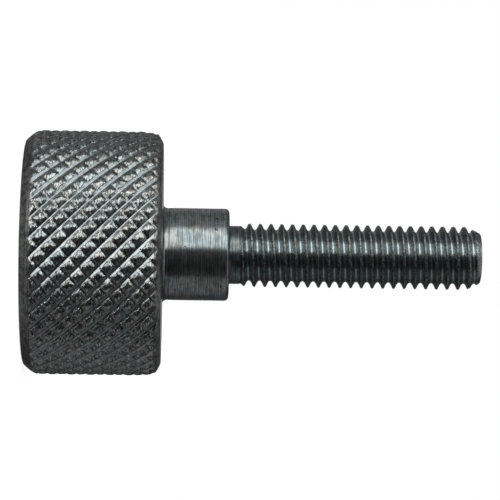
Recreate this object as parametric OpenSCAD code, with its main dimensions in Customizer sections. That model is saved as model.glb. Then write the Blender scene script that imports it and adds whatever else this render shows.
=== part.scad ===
// Knurled lock knob: one turned steel piece with a diamond-knurled head,
// a plain collar and an M6 stud. It stands on the flat end of its head,
// with the origin at the centre of that face and the stud pointing up.

/* [Head] */
// Diameter over the points of the knurl
head_d = 22.8; // [18:0.1:40]
// Thickness of the head
head_h = 12.75; // [8:0.05:30]
// Height of the chamfer at the flat outer end
end_chamfer_h = 0.95; // [0.5:0.05:1.6]
// Width of the chamfer at the flat outer end
end_chamfer_w = 1.1; // [0.5:0.05:1.6]
// Height of the chamfer at the collar side
back_chamfer_h = 0.55; // [0.4:0.05:1.2]
// Width of the chamfer at the collar side
back_chamfer_w = 1.2; // [0.4:0.05:1.6]
// Radius that breaks the edges of the head's two flat sides
head_edge_r = 0.3; // [0.1:0.05:0.5]

/* [Knurl] */
// Number of grooves of each hand round the head
groove_count = 40; // [24:1:44]
// Distance along the head from one groove to the next of its own hand
knurl_pitch = 1.77; // [1.6:0.01:3]
// Depth of the deep grooves, which run straight through the others
knurl_depth = 0.26; // [0.2:0.01:0.45]
// Depth of the shallow grooves, midway between two deep ones
cross_depth = 0.2; // [0.1:0.01:0.4]
// Height at which a row of points crosses the flat outer end
knurl_start = 0.04; // [0:0.01:0.8]
// Angle of a point of that row
knurl_turn = 2; // [0:0.5:9]

/* [Collar] */
// Diameter of the collar
collar_d = 8.58; // [7:0.02:14]
// Length of the collar
collar_h = 6.15; // [3:0.05:20]
// Radius of the fillet between the head and the collar
collar_fillet_r = 0.4; // [0.1:0.05:0.8]
// Radius of the rounded edge at the collar's free end
collar_edge_r = 0.4; // [0.1:0.05:0.5]

/* [Stud] */
// Length of the stud, from the collar to the tip
stud_l = 23.4; // [10:0.05:60]
// Diameter of the plain neck between the collar and the thread
neck_d = 5.4; // [4.8:0.02:5.7]
// Length of the plain neck
neck_l = 0.95; // [0.5:0.05:3]
// Diameter over the crests of the thread
thread_d = 5.88; // [5.8:0.02:6.4]
// Distance from one turn of the thread to the next
thread_pitch = 1; // [0.9:0.05:1.25]
// Depth of the thread
thread_depth = 0.59; // [0.4:0.01:0.6]
// Angle from the X axis at which the thread begins
thread_turn = 55; // [0:5:355]
// Length over which the thread grows out of the neck
runout_l = 0.8; // [0.5:0.05:2]
// Size of the chamfer at the tip
tip_chamfer = 0.45; // [0.2:0.05:0.8]

/* [Hidden] */
dark_steel = [0.26, 0.29, 0.30];
turned_steel = [0.40, 0.43, 0.44];
head_r = head_d / 2;
collar_r = collar_d / 2;
neck_r = neck_d / 2;
crest_r = thread_d / 2;
root_r = crest_r - thread_depth;
collar_end = head_h + collar_h;
thread_start = collar_end + neck_l;
stud_end = collar_end + stud_l;
// Half of the angle between the flanks of the thread.
flank_angle = 30;
// Columns of the thread's skin round the axis.
thread_cols = 24;
// The turned outline of the head stands this far clear of the knurl's points.
outline_gap = 0.5;
// Each section starts this far inside the one before it, so that they are one solid.
overlap = 0.6;
// Each point of a rounded corner turns the outline by about this angle.
arc_angle = 20;
$fn = 96;

// Points along an arc about c, from angle a0 to angle a1.
function arc(c, r, a0, a1) =
    let (steps = ceil(abs(a1 - a0) / arc_angle))
    [for (i = [0 : steps])
        let (a = a0 + (a1 - a0) * i / steps)
        c + r * [cos(a), sin(a)]];

// A point given by its distance from the axis, its angle round it and its height.
function polar(r, a, z) = [r * cos(a), r * sin(a), z];

// ---- head ----

// One end of the head's outline, with the flat side at height 0 and the head above it:
// the flat side, the broken edge and the chamfer, carried on past the knurl's points.
function head_end(chamfer_w, chamfer_h) =
    let (
        slope = atan2(chamfer_h, chamfer_w),
        arc_x = head_r - chamfer_w - head_edge_r * tan(slope / 2)
    )
    concat(
        [[0, 0]],
        arc([arc_x, head_edge_r], head_edge_r, -90, slope - 90),
        [[head_r + outline_gap, chamfer_h + outline_gap * tan(slope)]]
    );

// The head as it is turned, before its rim is knurled.
module head_outline() {
    outer = head_end(end_chamfer_w, end_chamfer_h);
    back = head_end(back_chamfer_w, back_chamfer_h);
    polygon(concat(
        outer,
        [for (i = [len(back) - 1 : -1 : 0]) [back[i][0], head_h - back[i][1]]]
    ));
}

// The knurled rim, a little longer than the head. Its skin is a grid of rows along the
// axis and columns round it. Points of diamonds and crossings of grooves take turns on
// the grid, and a groove runs along one diagonal of every cell.
module knurl() {
    cols = 2 * groove_count;
    row_h = knurl_pitch / 2;
    z0 = knurl_start - row_h;
    rows = ceil((head_h - z0) / row_h) + 1;

    function is_point(i, j) = (i + j) % 2 == 1;
    function at(i, j, depth) =
        polar(head_r - depth, knurl_turn + 360 * i / cols, z0 + j * row_h);
    grid = [for (j = [0 : rows], i = [0 : cols - 1]) at(i, j, is_point(i, j) ? 0 : knurl_depth)];
    // The shallow grooves rise midway between two crossings, at the middle of a cell.
    saddles = [for (j = [0 : rows - 1], i = [0 : cols - 1]) at(i + 0.5, j + 0.5, cross_depth)];

    function id(i, j) = j * cols + i % cols;
    function corners(i, j) = [id(i, j), id(i + 1, j), id(i + 1, j + 1), id(i, j + 1)];
    function deep_cell(c) = [[c[0], c[3], c[1]], [c[1], c[3], c[2]]];
    function shallow_cell(c, saddle) = [for (k = [0 : 3]) [saddle, c[(k + 1) % 4], c[k]]];

    polyhedron(
        points = concat(grid, saddles),
        faces = concat(
            [for (j = [0 : rows - 1], i = [0 : cols - 1])
                each is_point(i, j)
                    ? deep_cell(corners(i, j))
                    : shallow_cell(corners(i, j), len(grid) + id(i, j))],
            [[for (i = [0 : cols - 1]) id(i, 0)]],
            [[for (i = [cols - 1 : -1 : 0]) id(i, rows)]]
        )
    );
}

module head() {
    color(dark_steel) intersection() {
        knurl();
        rotate_extrude() head_outline();
    }
}

// ---- collar ----

module collar() {
    foot_r = collar_r + collar_fillet_r;
    color(turned_steel) rotate_extrude() polygon(concat(
        [[0, head_h - overlap], [foot_r, head_h - overlap]],
        arc([foot_r, head_h + collar_fillet_r], collar_fillet_r, 270, 180),
        arc([collar_r - collar_edge_r, collar_end - collar_edge_r], collar_edge_r, 0, 90),
        [[0, collar_end]]
    ));
}

// ---- stud ----

// A right-hand screw with a sharp crest, a turn longer than the thread at each end. Its
// skin is a grid of columns round the axis and three rows to each turn: the two edges of
// the root's floor and the crest. Once round, a row has climbed one pitch and meets the
// same row of the next turn.
module screw() {
    crest_w = thread_pitch / 8;
    root_w = thread_pitch - crest_w - 2 * thread_depth * tan(flank_angle);
    sharp_r = crest_r + crest_w / 2 / tan(flank_angle);
    // Distance from the axis and height of each row within its turn.
    form = [[root_r, 0], [root_r, root_w], [sharp_r, (root_w + thread_pitch) / 2]];
    n = len(form);
    turns = ceil((stud_end - thread_start) / thread_pitch) + 3;
    z0 = thread_start - 2 * thread_pitch;
    top = n * (turns - 1);

    skin = [for (j = [0 : n * turns], i = [0 : thread_cols - 1])
        let (turn = floor(j / n) + i / thread_cols)
        polar(form[j % n][0], thread_turn + 360 * turn, z0 + form[j % n][1] + thread_pitch * turn)];
    ends = [[0, 0, z0], [0, 0, z0 + thread_pitch * turns]];

    function id(i, j) = i < thread_cols ? j * thread_cols + i : id(i - thread_cols, j + n);
    polyhedron(
        points = concat(skin, ends),
        faces = concat(
            [for (j = [0 : top - 1], i = [0 : thread_cols - 1])
                each [
                    [id(i, j), id(i + 1, j + 1), id(i + 1, j)],
                    [id(i, j), id(i, j + 1), id(i + 1, j + 1)]
                ]],
            // Each end is closed by a fan from the axis along its last row and the step
            // between that row's beginning and its end.
            [for (i = [0 : thread_cols - 1]) each [
                [len(skin), id(i, 0), id(i + 1, 0)],
                [len(skin) + 1, id(i + 1, top), id(i, top)]
            ]],
            [for (j = [0 : n - 1]) each [
                [len(skin), id(0, j + 1), id(0, j)],
                [len(skin) + 1, id(0, top + j), id(0, top + j + 1)]
            ]]
        )
    );
}

// The bar that the thread stands on. The floor of its root sinks from the neck's surface
// to its full depth over the run-out.
module neck_outline() {
    polygon([
        [0, collar_end - overlap],
        [neck_r, collar_end - overlap],
        [neck_r, thread_start],
        [root_r, thread_start + runout_l],
        [0, thread_start + runout_l]
    ]);
}

// What the thread is rolled on: its crests grow out of the neck and end in the tip's
// chamfer. Inside the neck it narrows to nothing.
module thread_outline() {
    polygon([
        [0, thread_start - overlap],
        [neck_r, thread_start],
        [crest_r, thread_start + runout_l],
        [crest_r, stud_end - tip_chamfer],
        [crest_r - tip_chamfer, stud_end],
        [0, stud_end]
    ]);
}

module stud() {
    color(dark_steel) {
        rotate_extrude() neck_outline();
        intersection() {
            screw();
            rotate_extrude() thread_outline();
        }
    }
}

module lock_knob() {
    head();
    collar();
    stud();
}

lock_knob();
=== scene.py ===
"""Looks of the knurled lock knob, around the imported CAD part.

The knob is one turned piece of plated steel that stands on its head: a knurled head, a plain
collar and a stud with a rolled thread. It is built here as one closed mesh of rings around the
Z axis, finer than the CAD solid. Lengths are in millimetres, unless a comment says metres.
"""

import math

import bmesh
import bpy
import numpy as np
from mathutils import Matrix, Vector, noise


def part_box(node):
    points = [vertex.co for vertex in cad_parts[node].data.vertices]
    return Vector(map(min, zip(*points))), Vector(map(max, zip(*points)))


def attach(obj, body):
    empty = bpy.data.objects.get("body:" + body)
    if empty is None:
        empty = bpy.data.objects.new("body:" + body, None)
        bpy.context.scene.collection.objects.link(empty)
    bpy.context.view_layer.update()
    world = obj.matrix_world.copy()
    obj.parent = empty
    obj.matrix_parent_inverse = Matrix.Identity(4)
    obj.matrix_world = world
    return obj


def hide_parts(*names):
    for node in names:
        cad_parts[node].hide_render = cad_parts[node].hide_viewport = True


MM = 0.001
IMAGE_SIDE = 500

# Head, from the end face that it stands on to the back face around the collar. A rounding is
# the difference in radius within which two surfaces blend.
HEAD_H = 12.75
END_CHAMFER_H = 1.0
END_CHAMFER_W = 1.0
END_ROUNDING = 0.8
BACK_CHAMFER_H = 0.65
BACK_CHAMFER_W = 1.2
BACK_ROUNDING = 0.35
BACK_TAPER_H = 2.4
BACK_TAPER_W = 0.34

# Rings of the end face, by radius and by inset from its edge, and of the back face's outer
# part, by inset from its edge and by how far they lie below HEAD_H
FACE_COLUMNS = 96
FACE_RADII = (0.4, 2, 4, 6, 8)
FACE_INSETS = (1.2, 0.4, 0.12)
BACK_RINGS = ((0.0, 0.04), (0.5, 0.015), (1.5, 0.0))

# Knurl: deep left-hand grooves that cut through shallower right-hand ones. The mesh has CELLS
# columns from one groove to the next. The knurl ends where the outline is KNURL_END_W inside
# the head's radius, and the surface beyond is turned.
GROOVES = 40
KNURL_PITCH = 1.77
KNURL_DEPTH = 0.33
CROSS_RISE = 0.05
FACET_CURVE = 1.2
POINT_FLAT = 0.055
POINT_ROUNDING = 0.03
DEEP_PHASE = 0.747
CROSS_PHASE = 0.697
KNURL_END_W = 0.22
CELLS = 9
FIRST_ROW_Z = 0.02
LAST_ROW_GAP = 0.06

# Unevenness of the knurl: its grooves wander by RAGGED, a share of their spacing, and its
# surface by the other two. NOISE_STEP lies between the places where two seeds read the noise.
NOISE_STEP = (7.31, 3.17, 5.77)
RAGGED = 0.035
RAGGED_SCALE = 0.4
UNEVEN = 0.012
UNEVEN_SCALE = 0.9
ROUGH = 0.008
ROUGH_SCALE = 0.3

# Collar. Its arcs, in degrees, stop short of the wall, which has rings of its own.
COLLAR_R = 4.29
COLLAR_END = 18.9
COLLAR_FILLET = 0.4
COLLAR_EDGE = 0.4
COLLAR_MARGIN = 0.006
COLLAR_COLUMNS = 144
COLLAR_STEP = 0.085
BACK_RADII = (8, 6)
FILLET_GAP = 0.3
FILLET_ARC = (270, 186)
EDGE_ARC = (10, 90)
ARC_STEPS = 8
COLLAR_FACE_GAP = 0.4

# Marks of the turning tool on the collar: one line near the head, and fine and broad ripples.
# Each ripple is read from the noise at an (x, y) of its own.
RING_LINE_Z = 13.25
RING_LINE_DEPTH = 0.03
RING_LINE_WIDTH = 0.06
FINE_MARK = 0.004
FINE_MARK_W = 0.16
FINE_MARK_AT = (0.3, 0.7)
BROAD_MARK = 0.003
BROAD_MARK_W = 0.45
BROAD_MARK_AT = (5.3, 1.7)

# Stud: a plain neck with a small foot, the thread, and the chamfered tip. Its rings are
# ROWS_PER_PITCH to a turn of the thread, and half as many below FINE_ROWS_START.
NECK_R = 2.7
NECK_END = 19.85
NECK_FOOT_H = 0.12
NECK_FOOT_MID = 0.04
NECK_FOOT_SLOPE = 2
NECK_FOOT_W = 0.12
FINE_ROWS_START = NECK_END - 0.3
THREAD_R = 2.94
ROOT_R = 2.365
SHARP_R = 3.14
FLANK_SLOPE = math.tan(math.radians(65))
CREST_ROUNDING = 0.1
THREAD_PITCH = 1.0
THREAD_PHASE = 0.295
THREAD_START = NECK_END + 0.25
RUNOUT = 0.65
TIP_CHAMFER = 0.6
TIP_SLOPE = 0.48
TIP_ROUNDING = 0.08
TIP_GAP = 0.01
TIP_INSETS = (0.06, 0.5, 1.4)
STUD_COLUMNS = 90
ROWS_PER_PITCH = 18

ZONES = ("turned", "knurled", "threaded")
RIDGE_ANGLE = math.radians(28)


def soft_min(a, b, width):
    """The lesser of two values, with the corner between them rounded over width."""
    blend = np.maximum(width - np.abs(a - b), 0.0) / width
    return np.minimum(a, b) - blend * blend * width / 4


def soft_max(a, b, width):
    """The greater of two values, with the corner between them rounded over width."""
    return -soft_min(-a, -b, width)


def noise_at(angles, z, radius, scale, seed):
    """Smooth noise, from -1 to 1, at each point of a ring."""
    offset = Vector([seed * step for step in NOISE_STEP])
    values = []
    for angle in angles:
        point = Vector((radius * math.cos(angle), radius * math.sin(angle), z))
        values.append(noise.noise(point / scale + offset))
    return np.array(values)


def ring_angles(count, shift):
    """Angles of a ring's points, in radians. shift is in steps from one point to the next."""
    return (np.arange(count) + shift) * 2 * math.pi / count


def ring(count, shift, z, radius, zone):
    """One ring of points. radius is one number, or one for each point."""
    radii = np.broadcast_to(np.asarray(radius, float), (count,))
    return {"angles": ring_angles(count, shift), "radii": radii, "z": z, "zone": zone}


def arc_points(centre, radius, arc):
    """(r, z) points along an arc, in degrees from the outward direction towards +Z."""
    start, end = arc
    points = []
    for step in range(ARC_STEPS + 1):
        angle = math.radians(start + (end - start) * step / ARC_STEPS)
        points.append((centre[0] + radius * math.cos(angle), centre[1] + radius * math.sin(angle)))
    return points


def groove_distance(place):
    """Distance from the nearest groove, 0 in a groove and 0.5 midway between two."""
    return np.abs(place - np.round(place))


def facet_depth(distance):
    """Depth of a slightly bulging facet, at a distance from its groove of 0 to 0.5."""
    return KNURL_DEPTH * (1 - 2 * distance) ** FACET_CURVE


def knurl_radius(angles, z, head_r):
    """Radius of the knurled surface: pyramids between two crossing families of grooves."""
    turns = angles * GROOVES / (2 * math.pi)
    ragged = RAGGED * noise_at(angles, z, head_r, RAGGED_SCALE, seed=3)
    deep_off = groove_distance(turns + z / KNURL_PITCH - DEEP_PHASE) + ragged
    cross_off = groove_distance(turns - z / KNURL_PITCH - CROSS_PHASE) - ragged
    deep = facet_depth(np.clip(deep_off, 0.0, 0.5))
    cross = facet_depth(np.clip(cross_off, 0.0, 0.5)) - CROSS_RISE
    depth = soft_max(np.maximum(deep, cross), POINT_FLAT, POINT_ROUNDING)
    uneven = UNEVEN * noise_at(angles, z, head_r, UNEVEN_SCALE, seed=1)
    uneven += ROUGH * noise_at(angles, z, head_r, ROUGH_SCALE, seed=2)
    return head_r - depth + np.minimum(uneven, depth)


def outline_taper(z):
    """How far the knurled rim falls away towards the collar."""
    return BACK_TAPER_W * max(0.0, (z - HEAD_H + BACK_TAPER_H) / BACK_TAPER_H) ** 2


def outline_radius(z, head_r):
    """Radius of the head's plain outline: a chamfer at each end, their outer edges rounded."""
    end_chamfer = head_r - END_CHAMFER_W + z * END_CHAMFER_W / END_CHAMFER_H
    back_chamfer = head_r - BACK_CHAMFER_W + (HEAD_H - z) * BACK_CHAMFER_W / BACK_CHAMFER_H
    rim = soft_min(end_chamfer, head_r - outline_taper(z), END_ROUNDING)
    return float(soft_min(rim, back_chamfer, BACK_ROUNDING))


def head_rings(head_r):
    """The head, from the end face outwards and up to the back face.

    Each row of the knurl is turned by half a column from the one below it, and one row goes
    through crossings of the grooves, so that the points lie along the grooves of both hands.
    """
    count = GROOVES * CELLS
    row = KNURL_PITCH / (2 * CELLS)
    crossing_z = (DEEP_PHASE - CROSS_PHASE) * KNURL_PITCH / 2
    crossing_shift = (DEEP_PHASE + CROSS_PHASE) * CELLS / 2
    rings = [ring(FACE_COLUMNS, 0, 0.0, radius, "turned") for radius in FACE_RADII]
    for inset in FACE_INSETS:
        rings.append(ring(count, crossing_shift, 0.0, head_r - END_CHAMFER_W - inset, "turned"))
    first = math.ceil((FIRST_ROW_Z - crossing_z) / row)
    last = math.floor((HEAD_H - LAST_ROW_GAP - crossing_z) / row)
    for number in range(first, last + 1):
        z = crossing_z + number * row
        shift = (crossing_shift + number / 2) % 1
        outline = outline_radius(z, head_r)
        knurl = knurl_radius(ring_angles(count, shift), z, head_r) - outline_taper(z)
        zone = "turned" if outline < head_r - KNURL_END_W else "knurled"
        rings.append(ring(count, shift, z, np.minimum(knurl, outline), zone))
    back_r = head_r - BACK_CHAMFER_W
    for inset, drop in BACK_RINGS:
        rings.append(ring(count, crossing_shift, HEAD_H - drop, back_r - inset, "turned"))
    return rings


def collar_radius(z):
    """Radius of the collar's wall, with the marks of the turning tool."""
    line = RING_LINE_DEPTH * math.exp(-(((z - RING_LINE_Z) / RING_LINE_WIDTH) ** 2))
    mark = FINE_MARK * noise.noise(Vector((*FINE_MARK_AT, z / FINE_MARK_W)))
    mark += BROAD_MARK * noise.noise(Vector((*BROAD_MARK_AT, z / BROAD_MARK_W)))
    return COLLAR_R - COLLAR_MARGIN - line + mark


def collar_rings():
    """The back face's inner part, the fillet, the turned collar and its end face."""
    foot_r = COLLAR_R + COLLAR_FILLET
    first = HEAD_H + COLLAR_FILLET
    last = COLLAR_END - COLLAR_EDGE
    rings = []
    for radius in (*BACK_RADII, foot_r + FILLET_GAP):
        rings.append(ring(COLLAR_COLUMNS, 0, HEAD_H, radius, "turned"))
    for radius, z in arc_points((foot_r, first), COLLAR_FILLET, FILLET_ARC):
        rings.append(ring(COLLAR_COLUMNS, 0, z, radius, "turned"))
    steps = round((last - first) / COLLAR_STEP)
    for step in range(steps + 1):
        z = first + (last - first) * step / steps
        rings.append(ring(COLLAR_COLUMNS, 0, z, collar_radius(z), "turned"))
    for radius, z in arc_points((COLLAR_R - COLLAR_EDGE, last), COLLAR_EDGE, EDGE_ARC):
        rings.append(ring(COLLAR_COLUMNS, 0, z, radius - COLLAR_MARGIN, "turned"))
    rings.append(ring(COLLAR_COLUMNS, 0, COLLAR_END, NECK_R + COLLAR_FACE_GAP, "turned"))
    return rings


def thread_radius(angles, z):
    """Radius of the right-hand thread: steep flanks, narrow flat crests and round roots."""
    turn = z / THREAD_PITCH - angles / (2 * math.pi) - THREAD_PHASE
    from_crest = np.abs(turn - np.round(turn)) * THREAD_PITCH
    flank = SHARP_R - from_crest * FLANK_SLOPE
    next_flank = SHARP_R - (THREAD_PITCH - from_crest) * FLANK_SLOPE
    root_rounding = 4 * (ROOT_R - SHARP_R + FLANK_SLOPE * THREAD_PITCH / 2)
    return soft_min(soft_max(flank, next_flank, root_rounding), THREAD_R, CREST_ROUNDING)


def stud_rings(tip_z):
    """The neck, the thread with its run-out, and the chamfered tip."""
    rings = []
    for rise in (0.0, NECK_FOOT_MID):
        radius = NECK_R + NECK_FOOT_W - rise * NECK_FOOT_SLOPE
        rings.append(ring(STUD_COLUMNS, 0, COLLAR_END + rise, radius, "turned"))
    angles = ring_angles(STUD_COLUMNS, 0)
    step = THREAD_PITCH / ROWS_PER_PITCH
    tip_r = THREAD_R - TIP_CHAMFER
    z = COLLAR_END + NECK_FOOT_H
    while z < tip_z - TIP_GAP:
        grown = min(1.0, max(0.0, (z - NECK_END) / RUNOUT))
        radii = NECK_R + (thread_radius(angles, z) - NECK_R) * grown
        radii = soft_min(radii, tip_r + (tip_z - z) * TIP_SLOPE, TIP_ROUNDING)
        zone = "turned" if z < THREAD_START else "threaded"
        rings.append(ring(STUD_COLUMNS, 0, z, radii, zone))
        z += step if z > FINE_ROWS_START else 2 * step
    for inset in TIP_INSETS:
        rings.append(ring(STUD_COLUMNS, 0, tip_z, tip_r - inset, "turned"))
    return rings


def stitch(lower, upper, lower_start, upper_start):
    """Triangles that join two rings, whatever their numbers of points."""
    faces = []
    low_count = len(lower["angles"])
    high_count = len(upper["angles"])
    i = 0
    j = 0
    while i < low_count or j < high_count:
        low = lower["angles"][0] + 2 * math.pi * (i + 1) / low_count
        high = upper["angles"][0] + 2 * math.pi * (j + 1) / high_count
        a = lower_start + i % low_count
        b = upper_start + j % high_count
        if j == high_count or (i < low_count and low <= high):
            faces.append((a, lower_start + (i + 1) % low_count, b))
            i += 1
        else:
            faces.append((a, upper_start + (j + 1) % high_count, b))
            j += 1
    return faces


def cap(centre, start, count, upward):
    """Triangles that close a ring around a centre point, facing +Z or -Z."""
    faces = []
    for i in range(count):
        a = start + i
        b = start + (i + 1) % count
        faces.append((centre, a, b) if upward else (centre, b, a))
    return faces


def skin(rings):
    """Points, triangles and zone numbers of the closed skin through these rings."""
    points = []
    starts = []
    for one in rings:
        starts.append(len(points))
        for angle, radius in zip(one["angles"], one["radii"]):
            points.append((radius * math.cos(angle), radius * math.sin(angle), one["z"]))
    faces = []
    zones = []
    for lower, upper, low_start, high_start in zip(rings, rings[1:], starts, starts[1:]):
        strip = stitch(lower, upper, low_start, high_start)
        faces += strip
        zones += [ZONES.index(upper["zone"])] * len(strip)
    for end, upward in ((0, False), (-1, True)):
        disc = cap(len(points), starts[end], len(rings[end]["angles"]), upward)
        points.append((0.0, 0.0, rings[end]["z"]))
        faces += disc
        zones += [ZONES.index("turned")] * len(disc)
    return points, faces, zones


def sharpen_ridges(mesh):
    """Shade ridges and outer corners sharp. The bottoms of grooves stay smooth."""
    edit = bmesh.new()
    edit.from_mesh(mesh)
    for edge in edit.edges:
        if edge.calc_face_angle_signed(0.0) > RIDGE_ANGLE:
            edge.smooth = False
    edit.to_mesh(mesh)
    edit.free()


def make_knob(head_r, tip_z, materials):
    """The whole knob as one object. Its materials come in the order of ZONES."""
    points, faces, zones = skin(head_rings(head_r) + collar_rings() + stud_rings(tip_z))
    mesh = bpy.data.meshes.new("lock_knob_finish")
    mesh.from_pydata([tuple(c * MM for c in point) for point in points], [], faces)
    mesh.polygons.foreach_set("material_index", zones)
    mesh.polygons.foreach_set("use_smooth", [True] * len(faces))
    for material in materials:
        mesh.materials.append(material)
    mesh.validate()
    mesh.update()
    sharpen_ridges(mesh)
    knob = bpy.data.objects.new("knurled_knob", mesh)
    bpy.context.scene.collection.objects.link(knob)
    return knob


def node(tree, kind, inputs=None, **settings):
    """A new node with these settings, and with these inputs, values or sockets."""
    made = tree.nodes.new(kind)
    for name, value in settings.items():
        setattr(made, name, value)
    for key, value in (inputs or {}).items():
        socket = made.inputs[key]
        if isinstance(value, bpy.types.NodeSocket):
            tree.links.new(value, socket)
        else:
            socket.default_value = value
    return made


def calc(tree, operation, *values):
    """Output of a Math node."""
    return node(tree, "ShaderNodeMath", dict(enumerate(values)), operation=operation).outputs[0]


def vector_calc(tree, operation, inputs):
    """Vector output of a Vector Math node."""
    return node(tree, "ShaderNodeVectorMath", inputs, operation=operation).outputs[0]


def smooth_range(tree, value, start, end, low=0.0, high=1.0):
    """Output of a Map Range node, from low at start to high at end."""
    inputs = {"Value": value, "From Min": start, "From Max": end, "To Min": low, "To Max": high}
    return node(tree, "ShaderNodeMapRange", inputs, interpolation_type="SMOOTHSTEP").outputs[0]


def mix_value(tree, factor, a, b):
    """a where the factor is 0, and b where it is 1."""
    return node(tree, "ShaderNodeMix", {0: factor, 2: a, 3: b}).outputs[0]


def mix_color(tree, factor, a, b):
    """Color a where the factor is 0, and color b where it is 1."""
    return node(tree, "ShaderNodeMix", {0: factor, 6: a, 7: b}, data_type="RGBA").outputs[2]


def grain(tree, vector, scale, detail=2.0, rough=0.5):
    """Value of a Noise texture, about 0.5."""
    inputs = {"Vector": vector, "Scale": scale, "Detail": detail, "Roughness": rough}
    return node(tree, "ShaderNodeTexNoise", inputs).outputs["Fac"]


def shaded(tree, color, level):
    """The color times a level."""
    return vector_calc(tree, "SCALE", {0: color, 3: level})


def mottled(tree, color, value, spread, low, high):
    """The color times low to high, as a noise's value goes from 0.5 - spread to 0.5 + spread."""
    return shaded(tree, color, smooth_range(tree, value, 0.5 - spread, 0.5 + spread, low, high))


def raised(tree, height, distance):
    """Normal of a bump. A height of 1 stands for this distance."""
    return node(tree, "ShaderNodeBump", {"Height": height, "Distance": distance * MM}).outputs[0]


def metal(name):
    """A metal material, with its node tree and its shader."""
    material = bpy.data.materials.new(name)
    material.use_nodes = True
    shader = material.node_tree.nodes["Principled BSDF"]
    shader.inputs["Metallic"].default_value = 1.0
    return material, material.node_tree, shader


def set_looks(tree, shader, color, roughness, normal):
    """Link a shader to its color, roughness and normal."""
    tree.links.new(color, shader.inputs["Base Color"])
    tree.links.new(roughness, shader.inputs["Roughness"])
    tree.links.new(normal, shader.inputs["Normal"])


def knob_place(tree):
    """Place on the knob, in millimetres."""
    place = node(tree, "ShaderNodeTexCoord").outputs["Object"]
    return vector_calc(tree, "SCALE", {0: place, 3: 1 / MM})


def lathe_place(tree, place):
    """Offset from the Z axis as a vector, distance from the axis, and height."""
    x, y, z = node(tree, "ShaderNodeSeparateXYZ", {0: place}).outputs
    offset = node(tree, "ShaderNodeCombineXYZ", {0: x, 1: y}).outputs[0]
    radius = node(tree, "ShaderNodeVectorMath", {0: offset}, operation="LENGTH").outputs["Value"]
    return offset, radius, z


# Turned steel. Feed marks are the even waves that the tool leaves along Z. The recess is all
# that lies beyond the collar, darker partly with painted shade of the collar and partly with a
# duller surface, and the rim is the head's chamfers and the edges of its faces.
BLUE_STEEL = (0.255, 0.3, 0.31, 1)
BROWN_STEEL = (0.27, 0.29, 0.278, 1)
RIM_STEEL = (0.26, 0.272, 0.262)
TURN_SCALE = 8.0
TURN_LENGTH = 2.5
FACE_TURN = 0.83
TURN_DEPTH = 0.012
TURN_ROUGH = 0.22
TURN_BRIGHT_ROUGH = 0.13
FEED_WAVES = 2 * math.pi / 0.17
FEED_DRIFT = 1.5
FEED_SHADE = 0.22
PIT_SHADE = 0.7
RECESS_EDGE = 0.1
# Darkening beyond the collar: partly painted shade of the collar, partly a duller surface
RECESS_SHADE_AND_DULL = 0.62
RECESS_ROUGH = 0.27
RIM_START = 9.9
RIM_END = 10.2
RIM_ROUGH = 0.4


def turning_rings(tree, offset, radius, z):
    """Noise drawn out into the fine rings that turning leaves.

    It is read at a place that hardly changes around the axis and changes fast along the profile.
    """
    outward = vector_calc(tree, "NORMALIZE", {0: offset})
    around = vector_calc(tree, "SCALE", {0: outward, 3: TURN_LENGTH})
    along = calc(tree, "MULTIPLY_ADD", radius, FACE_TURN, z)
    along = calc(tree, "MULTIPLY", along, TURN_SCALE)
    up = node(tree, "ShaderNodeCombineXYZ", {2: along}).outputs[0]
    turned = vector_calc(tree, "ADD", {0: around, 1: up})
    return grain(tree, turned, scale=1.0, detail=3.0, rough=0.7)


def turned_steel():
    """Lathe-turned steel: fine rings, faint blue and brown tints, small pits, dull chamfers."""
    material, tree, shader = metal("turned_steel")
    place = knob_place(tree)
    offset, radius, z = lathe_place(tree, place)
    rings = turning_rings(tree, offset, radius, z)
    tint = smooth_range(tree, grain(tree, place, scale=0.45), start=0.42, end=0.62)
    base = mix_color(tree, tint, BLUE_STEEL, BROWN_STEEL)
    base = mottled(tree, base, rings, spread=0.15, low=0.62, high=1.32)
    clouds = grain(tree, place, scale=1.4, detail=3.0, rough=0.6)
    base = mottled(tree, base, clouds, spread=0.15, low=0.82, high=1.2)
    # Beyond the collar the colour is darker, partly painted shade of the collar and partly a duller
    # surface, and rougher
    recess_shade_and_dull = smooth_range(tree, z, COLLAR_END - RECESS_EDGE, COLLAR_END)
    base = shaded(tree, base, smooth_range(tree, recess_shade_and_dull, 0.0, 1.0, low=1.0, high=RECESS_SHADE_AND_DULL))
    waves = calc(tree, "MULTIPLY", z, FEED_WAVES)
    feed = calc(tree, "SINE", calc(tree, "MULTIPLY_ADD", rings, FEED_DRIFT, waves))
    base = shaded(tree, base, calc(tree, "MULTIPLY_ADD", feed, FEED_SHADE, 1.0))
    pits = smooth_range(tree, grain(tree, place, scale=2.4, detail=0.0), start=0.79, end=0.83)
    base = shaded(tree, base, calc(tree, "MULTIPLY_ADD", pits, -PIT_SHADE, 1.0))

    rim = smooth_range(tree, radius, RIM_START, RIM_END)
    blotches = grain(tree, place, scale=1.9, detail=3.0, rough=0.65)
    rim_color = mottled(tree, RIM_STEEL, blotches, spread=0.12, low=0.62, high=1.3)
    rim_color = mottled(tree, rim_color, rings, spread=0.14, low=0.7, high=1.35)
    color = mix_color(tree, rim, base, rim_color)
    roughness = smooth_range(tree, rings, 0.3, 0.7, low=TURN_ROUGH, high=TURN_BRIGHT_ROUGH)
    roughness = mix_value(tree, recess_shade_and_dull, roughness, RECESS_ROUGH)
    roughness = mix_value(tree, rim, roughness, RIM_ROUGH)
    set_looks(tree, shader, color, roughness, raised(tree, rings, TURN_DEPTH))
    return material
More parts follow.
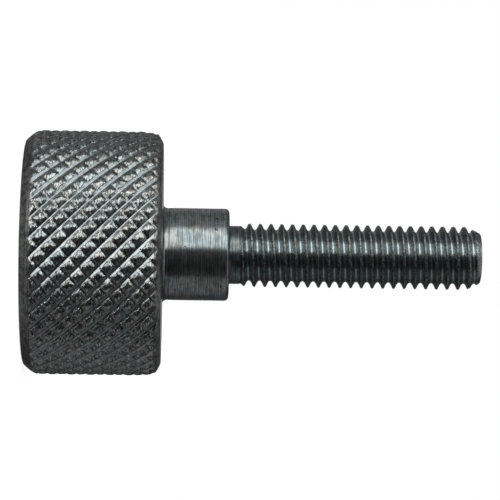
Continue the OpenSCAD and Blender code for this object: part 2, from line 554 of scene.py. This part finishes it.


# Knurled steel. The burnish, the walls' painted light and shade and the bottom are placed by
# their distance from a deep groove, and the painted shade along the cross grooves by its
# distance from a cross one, as shares of the grooves' spacing.
COOL_FACET = (0.332, 0.38, 0.377, 1)
WARM_FACET = (0.37, 0.378, 0.358, 1)
# Burnished groove walls: one darker with painted shade, the other lighter with painted light
WALL_PAINTED_SHADE = (0.29, 0.33, 0.34, 1)
WALL_PAINTED_LIGHT = (0.47, 0.505, 0.51, 1)
STREAK = (1, 1, 2)
FACET_ROUGH = 0.23
FACET_TORN = 0.07
BURNISH_START = 0.16
BURNISH_END = 0.25
BURNISH_WANDER = 0.3
BURNISH_ROUGH = 0.19
BURNISH_TORN = 0.016
WALL_EDGE = 0.06
BOTTOM_W = 0.11
BOTTOM_DEPTH = 0.018
# Painted shade along the cross grooves: its level there, and where it starts and ends
CROSS_PAINTED_SHADE = 0.62
CROSS_SHADE_START = 0.02
CROSS_SHADE_END = 0.08


def from_groove(tree, place, pitch, phase):
    """Place between grooves of one hand, 0 in a groove and 0.5 or -0.5 midway between two."""
    x, y, z = node(tree, "ShaderNodeSeparateXYZ", {0: place}).outputs
    turns = calc(tree, "MULTIPLY", calc(tree, "ARCTAN2", y, x), GROOVES / (2 * math.pi))
    across = calc(tree, "MULTIPLY_ADD", z, 1 / pitch, -phase)
    return calc(tree, "WRAP", calc(tree, "ADD", turns, across), 0.5, -0.5)


def knurled_steel():
    """Rolled knurl: torn, streaked facets, and deep burnished grooves, one wall painted light and
    the other painted shade.
    """
    material, tree, shader = metal("knurled_steel")
    place = knob_place(tree)
    streaked = vector_calc(tree, "MULTIPLY", {0: place, 1: STREAK})
    side = from_groove(tree, place, KNURL_PITCH, DEEP_PHASE)
    off = calc(tree, "ABSOLUTE", side)
    cross_off = calc(tree, "ABSOLUTE", from_groove(tree, place, -KNURL_PITCH, CROSS_PHASE))
    wander = grain(tree, place, scale=1.3)
    wander = calc(tree, "MULTIPLY_ADD", wander, BURNISH_WANDER, -BURNISH_WANDER / 2)
    wandering = calc(tree, "ADD", off, wander)
    burnished = smooth_range(tree, wandering, BURNISH_START, BURNISH_END, 1.0, 0.0)

    tint = smooth_range(tree, grain(tree, place, scale=0.6), start=0.4, end=0.62)
    facet = mix_color(tree, tint, COOL_FACET, WARM_FACET)
    tears = grain(tree, streaked, scale=3.2, detail=1.5, rough=0.6)
    facet = mottled(tree, facet, tears, spread=0.15, low=0.4, high=1.48)
    # Painted shade: the facets darken towards a cross groove
    cross_shade = smooth_range(tree, cross_off, CROSS_SHADE_START, CROSS_SHADE_END, CROSS_PAINTED_SHADE, 1.0)
    facet = shaded(tree, facet, cross_shade)
    # Painted light on one wall of each deep groove and painted shade on the other
    painted_lit_wall = smooth_range(tree, side, -WALL_EDGE, WALL_EDGE)
    groove = mix_color(tree, painted_lit_wall, WALL_PAINTED_SHADE, WALL_PAINTED_LIGHT)
    groove = mottled(tree, groove, grain(tree, place, scale=1.7), spread=0.12, low=0.82, high=1.12)
    color = mix_color(tree, burnished, facet, groove)
    roughness = mix_value(tree, burnished, FACET_ROUGH, BURNISH_ROUGH)

    torn_depth = smooth_range(tree, burnished, 0.0, 1.0, FACET_TORN, BURNISH_TORN)
    torn = calc(tree, "MULTIPLY", grain(tree, streaked, scale=2.2, detail=1.5), torn_depth)
    bottom = smooth_range(tree, off, 0.0, BOTTOM_W, 0.0, BOTTOM_DEPTH)
    height = calc(tree, "ADD", torn, bottom)
    set_looks(tree, shader, color, roughness, raised(tree, height, 1.0))
    return material


# Threaded steel. The flank's colour begins above the root, and the crest's below the crest.
COOL_FLANK = (0.27, 0.312, 0.315, 1)
WARM_FLANK = (0.285, 0.302, 0.287, 1)
ROOT_STEEL = (0.42, 0.475, 0.49)
ROOT_ROUGH = 0.17
FLANK_START = ROOT_R + 0.01
FLANK_FULL = ROOT_R + 0.14
FLANK_ROUGH = 0.27
FLANK_DEPTH = 0.05
CREST_START = THREAD_R - 0.16
CREST_FULL = THREAD_R - 0.04
CREST_SHADE = 0.75
CREST_ROUGH = 0.36


def threaded_steel():
    """Rolled thread: bluish roots, and rougher, speckled flanks and crests."""
    material, tree, shader = metal("threaded_steel")
    place = knob_place(tree)
    _, radius, _ = lathe_place(tree, place)
    flank = smooth_range(tree, radius, FLANK_START, FLANK_FULL)
    crest = smooth_range(tree, radius, CREST_START, CREST_FULL)
    speckles = grain(tree, place, scale=4.6, rough=0.6)
    worn = smooth_range(tree, grain(tree, place, scale=1.1), start=0.4, end=0.6)
    flank_color = mix_color(tree, worn, COOL_FLANK, WARM_FLANK)
    flank_color = mottled(tree, flank_color, speckles, spread=0.12, low=0.55, high=1.45)
    flank_color = shaded(tree, flank_color, smooth_range(tree, crest, 0.0, 1.0, 1.0, CREST_SHADE))
    root_color = mottled(tree, ROOT_STEEL, speckles, spread=0.14, low=0.85, high=1.15)
    color = mix_color(tree, flank, root_color, flank_color)
    flank_rough = mix_value(tree, crest, FLANK_ROUGH, CREST_ROUGH)
    roughness = mix_value(tree, flank, ROOT_ROUGH, flank_rough)
    height = calc(tree, "MULTIPLY", speckles, flank)
    set_looks(tree, shader, color, roughness, raised(tree, height, FLANK_DEPTH))
    return material


# Camera: what the photograph says of the view, in its pixels. The scale holds at column
# SCALE_X, and END_CENTRE is where the middle of the end face shows. The axis runs to the right,
# turned AXIS_TURN degrees away from the camera, and sinks by AXIS_SLOPE.
FOCAL_PX = 2600
SENSOR = 36
PX_PER_MM = 10.75
SCALE_X = 180
END_CENTRE = (25.35, 251.8)
AXIS_TURN = 1.5
AXIS_SLOPE = 0.0152

# What the camera can see, in metres
CLIP_START = 0.01
CLIP_END = 50


def make_camera():
    """The knob's axis runs to the right in the image, and its +X points down."""
    turn = math.radians(AXIS_TURN)
    along = Vector((math.cos(turn), -AXIS_SLOPE * math.cos(turn), -math.sin(turn))).normalized()
    down = Vector((0, -1, 0))
    down = (down - down.dot(along) * along).normalized()
    away = along.cross(down)
    to_world = Matrix((down, away, along))
    depth = FOCAL_PX / PX_PER_MM - (SCALE_X - END_CENTRE[0]) / PX_PER_MM * math.sin(turn)
    right = (END_CENTRE[0] - IMAGE_SIDE / 2) / FOCAL_PX
    up = (IMAGE_SIDE / 2 - END_CENTRE[1]) / FOCAL_PX
    origin = Vector((right, up, -1)) * depth
    data = bpy.data.cameras.new("camera")
    data.sensor_width = SENSOR
    data.lens = FOCAL_PX * SENSOR / IMAGE_SIDE
    data.clip_start = CLIP_START
    data.clip_end = CLIP_END
    camera = bpy.data.objects.new("camera", data)
    camera.matrix_world = Matrix.Translation(-(to_world @ origin) * MM) @ to_world.to_4x4()
    bpy.context.scene.collection.objects.link(camera)
    bpy.context.scene.camera = camera


# Studio light around the Z axis, as pairs of an angle and a level. The angle is in degrees,
# from the camera's side towards -X.
SOFTBOX = (
    (-180, 0.0),
    (14.5, 0.0),
    (18.5, 1.5),
    (62, 1.5),
    (74, 0.1),
    (90, 0.0),
    (180, 0.0),
)
ROOM = (
    (-180, 0.4),
    (-177, 0.4),
    (-174, 0.1),
    (-136, 0.07),
    (-112, 0.18),
    (-88, 0.25),
    (-62, 0.22),
    (-54, 0.06),
    (-30, 0.04),
    (0, 0.085),
    (20, 0.17),
    (74, 0.3),
    (90, 0.32),
    (113, 0.22),
    (150, 0.25),
    (174, 0.15),
    (177, 0.4),
    (180, 0.4),
)

# How it changes with the Z of the direction, which is 1 straight up and -1 straight down: the
# softbox ends, and the room fades to a share of its level and then to one level at each pole
SOFTBOX_TOP = 0.75
SOFTBOX_EDGE = 0.9
ROOM_FADE_START = 0.15
ROOM_FADE_END = 0.55
ROOM_HIGH = 0.5
POLE_START = 0.65
POLE_END = 0.8
POLE_LEVEL = 0.3
UNDER_LEVEL = 0.22


def level_ramp(tree, place, levels):
    """Brightness at a place from 0 to 1 around the axis, from (angle, level) pairs."""
    ramp = node(tree, "ShaderNodeValToRGB", {0: place})
    stops = ramp.color_ramp.elements
    top = max(level for _, level in levels)
    while len(stops) < len(levels):
        stops.new(0.5)
    for stop, (degrees, level) in zip(stops, levels):
        stop.position = degrees / 360 + 0.5
        stop.color = (level / top, level / top, level / top, 1)
    return calc(tree, "MULTIPLY", ramp.outputs[0], top)


def studio_level(tree, direction):
    """Brightness of the softbox and the room in a direction."""
    x, y, z = node(tree, "ShaderNodeSeparateXYZ", {0: direction}).outputs
    minus_x = calc(tree, "MULTIPLY", x, -1)
    minus_y = calc(tree, "MULTIPLY", y, -1)
    angle = calc(tree, "ARCTAN2", minus_x, minus_y)
    place = calc(tree, "MULTIPLY_ADD", angle, 0.5 / math.pi, 0.5)
    height = calc(tree, "ABSOLUTE", z)
    softbox_fade = smooth_range(tree, height, SOFTBOX_TOP, SOFTBOX_EDGE, 1.0, 0.0)
    softbox = calc(tree, "MULTIPLY", level_ramp(tree, place, SOFTBOX), softbox_fade)
    room_fade = smooth_range(tree, height, ROOM_FADE_START, ROOM_FADE_END, 1.0, ROOM_HIGH)
    room = calc(tree, "MULTIPLY", level_ramp(tree, place, ROOM), room_fade)
    pole = smooth_range(tree, height, POLE_START, POLE_END)
    above = calc(tree, "GREATER_THAN", z, 0.0)
    room = mix_value(tree, pole, room, mix_value(tree, above, UNDER_LEVEL, POLE_LEVEL))
    return calc(tree, "ADD", softbox, room)


def seen_straight(tree, path):
    """1 for the camera's own rays and for rays through glass, and 0 for all others."""
    return calc(tree, "MAXIMUM", path.outputs["Is Camera Ray"], path.outputs["Is Transmission Ray"])


def make_world():
    """A white background for the camera. The steel mirrors the graded studio in its place."""
    world = bpy.data.worlds.new("studio")
    bpy.context.scene.world = world
    world.use_nodes = True
    tree = world.node_tree
    level = studio_level(tree, node(tree, "ShaderNodeTexCoord").outputs["Generated"])
    seen = seen_straight(tree, node(tree, "ShaderNodeLightPath"))
    background = tree.nodes["Background"]
    tree.links.new(mix_value(tree, seen, level, 1.0), background.inputs["Strength"])
    background.inputs["Color"].default_value = (1, 1, 1, 1)


# Floor, in metres. It lies a hair below the end face, so that the two don't share a plane.
FLOOR_REACH = 4.0
FLOOR_DROP = 0.00003
FLOOR_COLOR = (0.85, 0.85, 0.85, 1)
FLOOR_ROUGH = 0.9
FLOOR_GLOW = 0.87


def pale_floor():
    """Pale to the camera, and clear to the rays that the steel mirrors."""
    material = bpy.data.materials.new("pale_floor")
    material.use_nodes = True
    material.cycles.emission_sampling = "NONE"
    tree = material.node_tree
    shader = tree.nodes["Principled BSDF"]
    shader.inputs["Base Color"].default_value = FLOOR_COLOR
    shader.inputs["Roughness"].default_value = FLOOR_ROUGH
    shader.inputs["Specular IOR Level"].default_value = 0.0
    shader.inputs["Emission Color"].default_value = (1, 1, 1, 1)
    path = node(tree, "ShaderNodeLightPath")
    glow = calc(tree, "MULTIPLY", seen_straight(tree, path), FLOOR_GLOW)
    tree.links.new(glow, shader.inputs["Emission Strength"])
    clear = node(tree, "ShaderNodeBsdfTransparent").outputs[0]
    inputs = {0: path.outputs["Is Glossy Ray"], 1: shader.outputs[0], 2: clear}
    mix = node(tree, "ShaderNodeMixShader", inputs)
    tree.links.new(mix.outputs[0], tree.nodes["Material Output"].inputs["Surface"])
    return material


def make_floor():
    """The floor that the knob stands on."""
    low = -FLOOR_DROP
    signs = ((-1, -1), (1, -1), (1, 1), (-1, 1))
    corners = [(x * FLOOR_REACH, y * FLOOR_REACH, low) for x, y in signs]
    mesh = bpy.data.meshes.new("floor")
    mesh.from_pydata(corners, [], [(0, 1, 2, 3)])
    mesh.materials.append(pale_floor())
    floor = bpy.data.objects.new("floor", mesh)
    bpy.context.scene.collection.objects.link(floor)


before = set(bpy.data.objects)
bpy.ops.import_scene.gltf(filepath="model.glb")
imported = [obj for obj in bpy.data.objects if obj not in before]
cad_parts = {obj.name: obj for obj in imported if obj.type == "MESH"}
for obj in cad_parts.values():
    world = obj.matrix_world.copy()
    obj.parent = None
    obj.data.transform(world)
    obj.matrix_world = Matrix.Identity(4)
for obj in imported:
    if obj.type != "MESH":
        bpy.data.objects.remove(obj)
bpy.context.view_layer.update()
_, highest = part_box("lock_knob")

bpy.context.scene.view_settings.view_transform = "Standard"
make_camera()
make_world()
make_floor()

knob = make_knob(highest.x / MM, highest.z / MM, (turned_steel(), knurled_steel(), threaded_steel()))
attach(knob, "root")
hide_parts("lock_knob")
